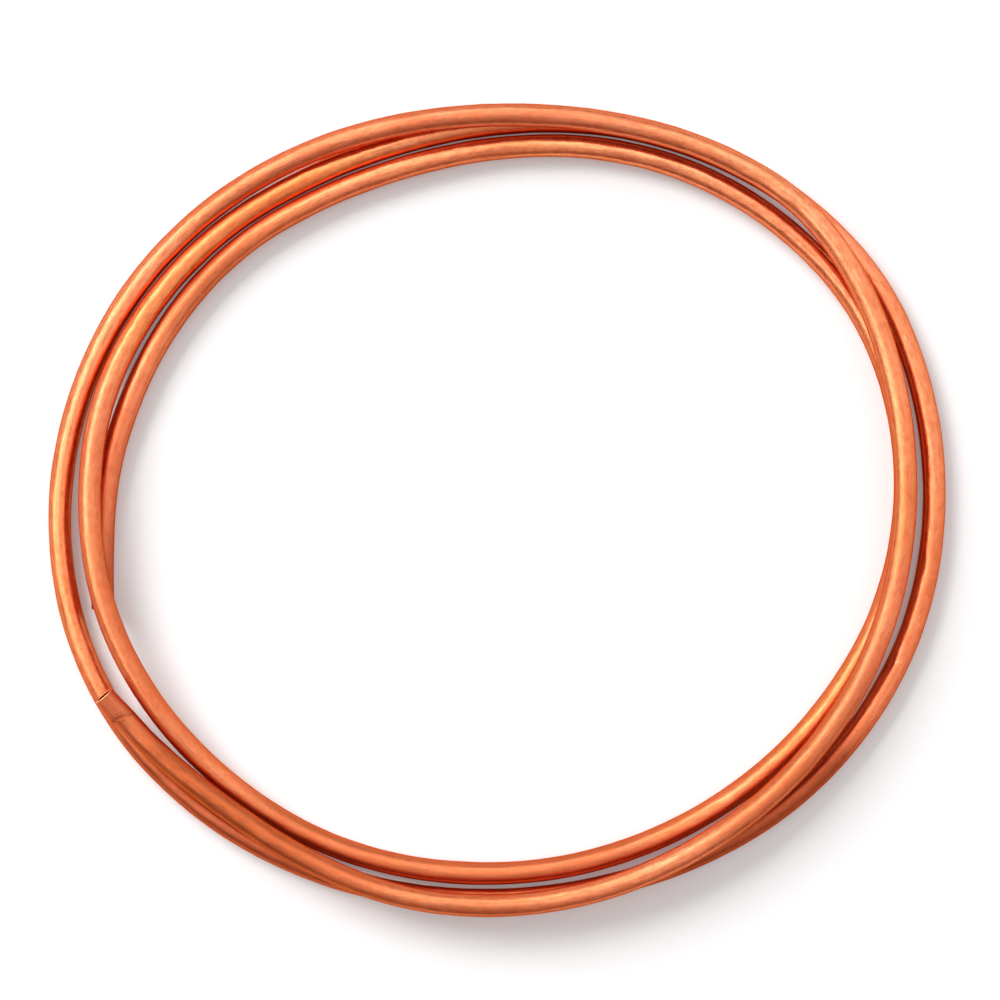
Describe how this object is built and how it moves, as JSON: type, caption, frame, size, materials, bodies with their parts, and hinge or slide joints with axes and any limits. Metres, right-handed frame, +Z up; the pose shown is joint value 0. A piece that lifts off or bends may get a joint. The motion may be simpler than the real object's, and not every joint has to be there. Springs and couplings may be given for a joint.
{
  "type": "copper tube coil",
  "caption": "Plain soft copper tube, wound by hand into a loose flat oval coil with its cut ends free; stock for pipework that is uncoiled, cut and bent to shape.",
  "frame": {"origin": "middle of the coil's box, on the floor that it lies on", "axes": "+Z up, across the coil's turns; +X along its longer side and +Y across it, as seen from above with the tipped-up end at the lower left"},
  "size_m": [0.2372, 0.2136, 0.0138],
  "materials": {
    "copper": "soft drawn copper, satin with faint draw lines, small scuffs and patches of light brown tarnish"
  },
  "bodies": {
    "root": {"copper_tube": "copper"}
  },
  "joints": []
}
